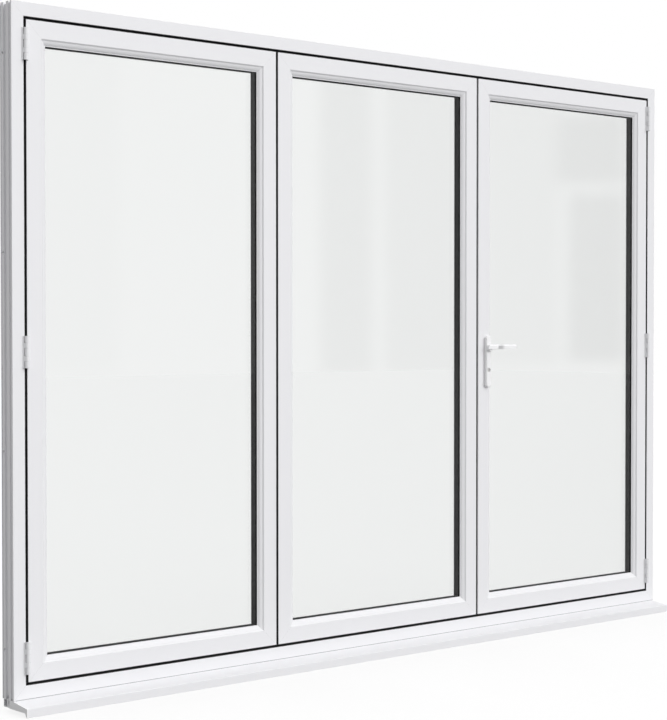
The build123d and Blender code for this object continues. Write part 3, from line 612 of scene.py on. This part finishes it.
def add_screws():
    """Screws in the handle's inside plate, the bolt handle's plate, the faceplate and the jambs."""
    low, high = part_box("handle_backplates")
    spindle_x = (low[0] + high[0]) / 2
    heights = (low[2] + HANDLE_SCREW_INSET, high[2] - HANDLE_SCREW_INSET)
    inside = [((spindle_x, high[1], z), (0, 1, 0)) for z in heights]
    screws("inside_plate_screws", inside, HANDLE_SCREW_SIZE, "traffic_leaf")

    low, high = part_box("middle_leaf_bolt_handle")
    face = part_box("middle_leaf_right_stile")[1][1] + BOLT_PLATE_THICKNESS
    heights = (low[2] + BOLT_SCREW_LOW_INSET, high[2] - BOLT_SCREW_HIGH_INSET)
    plate = [(((low[0] + high[0]) / 2, face, z), (0, 1, 0)) for z in heights]
    screws("bolt_plate_screws", plate, BOLT_SCREW_SIZE, "frame_and_pair")

    low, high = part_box("lock_faceplate")
    middle_y = (low[1] + high[1]) / 2
    first = low[2] + FACEPLATE_SCREW_INSET
    step = (high[2] - low[2] - 2 * FACEPLATE_SCREW_INSET) / (FACEPLATE_SCREWS - 1)
    edge = [((low[0], middle_y, first + i * step), (-1, 0, 0)) for i in range(FACEPLATE_SCREWS)]
    screws("faceplate_screws", edge, FACEPLATE_SCREW_SIZE, "traffic_leaf")

    heads = []
    for mount in RECORD["mounts"]:
        if mount["kind"] == "bolt_pattern":
            x, y, z = mount["pos_m"]
            half = mount["dims"]["spacing_y_mm"] / 2000
            heads += [((x, y, z + side * half), tuple(mount["axis"])) for side in (-1, 1)]
    screws("frame_fixing_heads", heads, FIXING_HEAD_SIZE, "frame_and_pair")


def add_spacer_vents():
    """The vent holes along the inner faces of each sealed unit's spacer, as near-black discs: painted shade
    of the holes.
    """
    for leaf, body in LEAF_BODIES.items():
        low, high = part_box(leaf + "_glass_spacer")
        inset = SPACER_DEPTH - VENT_PROUD
        x0, x1, z0, z1 = low[0] + inset, high[0] - inset, low[2] + inset, high[2] - inset
        m = VENT_MARGIN
        level = [(x, z) for z in (z0, z1) for x in (x0 + m, x1 - m)]
        upright = [(x, z) for x in (x0, x1) for z in (z0 + m, z1 - m)]
        ends = level + upright
        y = (low[1] + high[1]) / 2
        guide = bpy.data.meshes.new(leaf + "_spacer_vents")
        lines = [(i, i + 1) for i in range(0, len(ends), 2)]
        guide.from_pydata([(x, y, z) for x, z in ends], lines, [])
        values = {
            "Pitch": VENT_PITCH,
            "Radius": VENT_RADIUS,
            "Rise": 4 * VENT_PROUD,
            "Finish": FINISHES["vent_hole_shade"],
        }
        grown(leaf + "_spacer_vents", guide, VENTS_TREE, values, body)


def add_sill_shadow_line():
    """A thin dark grey strip along the foot of the frame, where it stands on the sill: painted shade of the
    gap there.
    """
    low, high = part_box("frame_threshold")
    front, foot = low[1], low[2]
    line = ((low[0], front - SHADOW_LINE_PROUD, foot), (high[0], front + SHADOW_LINE_PROUD, foot + SHADOW_LINE_HEIGHT))
    settle(bars("sill_bedding_joint", [line], FINISHES["shadow_line_grey"]), "frame_and_pair")


def add_lock_bolts():
    """The latch and bolts that show in the faceplate, and the keeps across the meeting gap."""
    low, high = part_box("lock_faceplate")
    middle_y = (low[1] + high[1]) / 2
    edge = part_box("middle_leaf_right_stile")[1][0]
    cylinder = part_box("lock_cylinder")[1][2] - CYLINDER_RADIUS
    metal = FINISHES["satin_nickel"]
    bolts, keeps = [], []
    for z, half in (
        (cylinder + CYLINDER_DROP, LATCH_HALF),
        (cylinder, MAIN_BOLT_HALF),
        (low[2] + END_BOLT_INSET, END_BOLT_HALF),
        (high[2] - END_BOLT_INSET, END_BOLT_HALF),
    ):
        bolts.append(((low[0] - BOLT_PROUD, middle_y - BOLT_WIDTH / 2, z - half),
                      (low[0] + BOLT_SEAT, middle_y + BOLT_WIDTH / 2, z + half)))
        keeps.append(((edge - KEEP_SEAT, middle_y - KEEP_WIDTH / 2, z - half - KEEP_MARGIN),
                      (edge + KEEP_THICKNESS, middle_y + KEEP_WIDTH / 2, z + half + KEEP_MARGIN)))
    settle(bars("lock_bolts", bolts, metal, BOLT_ROUND), "traffic_leaf")
    settle(bars("lock_keeps", keeps, metal, KEEP_ROUND), "frame_and_pair")


bpy.context.scene.view_settings.view_transform = "Standard"

COAT_SKIN, BRUSHED, MITRE_SEAM = coat_skin_group(), brushed_group(), mitre_seam_group()
WHITE = (0.80, 0.80, 0.82)
SATIN = {"Grain": 700, "Ripple": 0.3, "Roughness": 0.38, "Spread": 0.06}
MOULDED = {"Grain": 500, "Ripple": 0.3, "Roughness": 0.5, "Spread": 0.06}
GLOSS = {"Grain": 900, "Ripple": 0.2, "Roughness": 0.24, "Spread": 0.05}
RUBBER = {"Grain": 600, "Ripple": 0.1, "Roughness": 0.7, "Spread": 0.1}
LOCK_METAL = {"Roughness": 0.34, "Spread": 0.2}
FITTING_METAL = {"Roughness": 0.30, "Spread": 0.2}
FINISHES = {
    "white_profile": finish("white_profile", WHITE, COAT_SKIN, SATIN, 0.10),
    "white_sill": finish("white_sill", (0.82, 0.82, 0.84), COAT_SKIN, SATIN, 0.12),
    "white_cap": finish("white_cap", (0.90, 0.90, 0.91), COAT_SKIN, MOULDED, 0.15),
    "white_hardware": finish("white_hardware", WHITE, COAT_SKIN, GLOSS, 0.06,
                             {"Coat Weight": 0.3, "Coat Roughness": 0.15}),
    "bright_handle": finish("bright_handle", (0.88, 0.88, 0.89), COAT_SKIN, GLOSS, 0.05,
                            {"Coat Weight": 0.5, "Coat Roughness": 0.1}),
    "black_seal": finish("black_seal", (0.040, 0.040, 0.041), COAT_SKIN, RUBBER, 0.3,
                         {"Specular IOR Level": 0.15}),
    "black_spacer": finish("black_spacer", (0.030, 0.030, 0.032), COAT_SKIN, RUBBER, 0.1,
                           {"Specular IOR Level": 0.12}),
    # Painted shade: the near-black that stands for the shaded inside of the spacers' vent holes
    "vent_hole_shade": finish("vent_hole_shade", (0.008, 0.008, 0.008), COAT_SKIN, RUBBER, 0.1,
                        {"Specular IOR Level": 0.1}),
    # Painted shade: the dark grey of the strip that stands for the shadow in the gap between frame and sill
    "shadow_line_grey": finish("shadow_line_grey", (0.16, 0.16, 0.165), COAT_SKIN, RUBBER, 0.2,
                         {"Specular IOR Level": 0.2}),
    "nickel_lock": finish("nickel_lock", (0.85, 0.84, 0.82), BRUSHED, LOCK_METAL, 0.1, {"Metallic": 0.4}),
    "satin_nickel": finish("satin_nickel", (0.66, 0.65, 0.63), BRUSHED, FITTING_METAL, 0.1,
                           {"Metallic": 1.0}),
    "grey_nylon": finish("grey_nylon", (0.06, 0.06, 0.065), COAT_SKIN, MOULDED, 0.2),
    "glass": clear_glass(),
}
NODE_FINISHES = {node: FINISHES[slot] for node, slot in NODE_SLOTS.items()}
SIDES = ("bottom_rail", "top_rail", "left_stile", "right_stile")
LEAF_BODIES = {
    "left_leaf": "frame_and_pair",
    "middle_leaf": "frame_and_pair",
    "traffic_leaf": "traffic_leaf",
}
MITRED = {leaf: [f"{leaf}_{side}" for side in SIDES] for leaf in LEAF_BODIES}
MITRED["frame"] = ["frame_threshold", "frame_head", "frame_left_jamb", "frame_right_jamb"]
for owner, members in MITRED.items():
    mitred = finish(f"white_{owner}", WHITE, COAT_SKIN, SATIN, 0.10, corners=mitre_corners(members))
    NODE_FINISHES.update({node: mitred for node in members})
for node in ("outside_lever", "inside_lever", "handle_backplates"):
    NODE_FINISHES[node] = FINISHES["bright_handle"]
for node, material in NODE_FINISHES.items():
    NODES[node].data.materials.clear()
    NODES[node].data.materials.append(material)

SCREW, SCREWS_TREE, VENTS_TREE = screw_head(), screws_tree(), vents_tree()
add_screws()
add_spacer_vents()
add_sill_shadow_line()
add_lock_bolts()
bpy.data.objects.remove(SCREW)

make_camera()
make_world()
make_lamps()
make_floor()
